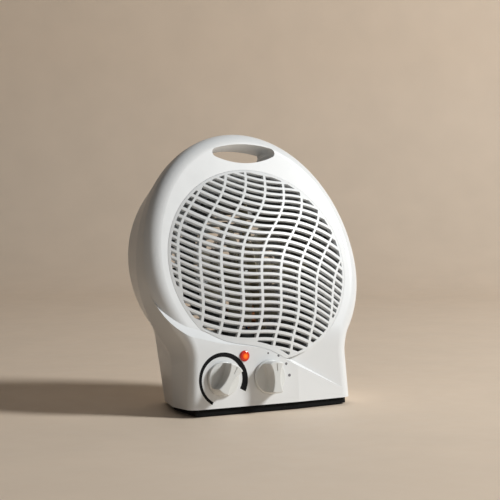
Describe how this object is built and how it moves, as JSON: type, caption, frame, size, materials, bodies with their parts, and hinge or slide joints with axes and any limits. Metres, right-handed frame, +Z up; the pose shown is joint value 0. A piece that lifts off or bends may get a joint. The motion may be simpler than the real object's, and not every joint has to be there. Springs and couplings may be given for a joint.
{
  "type": "fan heater",
  "caption": "Upright electric fan heater with a round head, a domed slatted grille, a carrying handle opening, and two rotary controls on a raised panel.",
  "frame": {"origin": "on the floor under the middle of the heater, knobs included", "axes": "+Z up, the grille and controls face -Y, +X to the right seen from the front"},
  "size_m": [0.22, 0.1275, 0.252],
  "materials": {
    "white_shell": "satin",
    "white_grille": "satin",
    "black_base": "matte",
    "foot_rubber": "matte",
    "knob_white": "satin",
    "lens_red": "gloss",
    "lamp_glass": "gloss",
    "steel_plate": "satin",
    "screw_steel": "satin",
    "spindle_plastic": "matte",
    "control_block": "matte",
    "switch_black": "matte",
    "brass_tab": "satin",
    "duct_dark": "matte",
    "mica": "satin",
    "nichrome": "satin",
    "impeller_grey": "satin",
    "core_iron": "satin",
    "copper": "satin",
    "bronze": "satin",
    "lead_brown": "satin",
    "lead_blue": "satin",
    "lead_white": "matte",
    "block_white": "matte",
    "gland_black": "matte"
  },
  "bodies": {
    "housing": {"front_cover": "white_shell", "rear_cover": "white_shell", "front_grille": "white_grille", "base_plate": "black_base", "rubber_feet": "foot_rubber", "lamp_lens": "lens_red", "neon_lamp": "lamp_glass", "thermostat_body": "control_block", "thermostat_blades": "brass_tab", "thermostat_screws": "screw_steel", "switch_body": "switch_black", "switch_terminals": "brass_tab", "switch_screws": "screw_steel", "fan_duct": "duct_dark", "upright_mica_board": "mica", "level_mica_board": "mica", "inner_heating_coil": "nichrome", "outer_heating_coil": "nichrome", "thermal_cutout": "steel_plate", "thermal_fuse": "steel_plate", "motor_core": "core_iron", "motor_coil": "copper", "motor_bracket": "steel_plate", "motor_rear_plate": "steel_plate", "motor_bearings": "bronze", "motor_spacers": "steel_plate", "motor_screws": "screw_steel", "bracket_screws": "screw_steel", "duct_screws": "screw_steel", "terminal_block": "block_white", "cord_gland": "gland_black", "live_wires": "lead_brown", "neutral_wires": "lead_blue", "heater_wires": "lead_white", "lamp_wires": "lead_white", "housing_screws": "screw_steel", "base_screws": "screw_steel"},
    "thermostat_control": {"thermostat_knob": "knob_white", "thermostat_spindle": "spindle_plastic"},
    "switch_control": {"switch_knob": "knob_white", "switch_spindle": "spindle_plastic"},
    "fan": {"fan_impeller": "impeller_grey", "fan_clip": "screw_steel", "motor_shaft": "steel_plate", "motor_rotor": "core_iron"}
  },
  "joints": [
    {"name": "thermostat_turn", "type": "hinge", "parent": "housing", "child": "thermostat_control", "pos_m": [-0.053, -0.04769, 0.0327], "axis": [0, 0.9962, -0.0872], "range_deg": [-183, 87]},
    {"name": "switch_turn", "type": "hinge", "parent": "housing", "child": "switch_control", "pos_m": [-0.0062, -0.04777, 0.03171], "axis": [0, 0.9962, -0.0872], "range_deg": [0, 90]},
    {"name": "fan_spin", "type": "hinge", "parent": "housing", "child": "fan", "pos_m": [0, 0.01743, 0.12058], "axis": [0, -0.9455, 0.3256], "continuous": true}
  ]
}
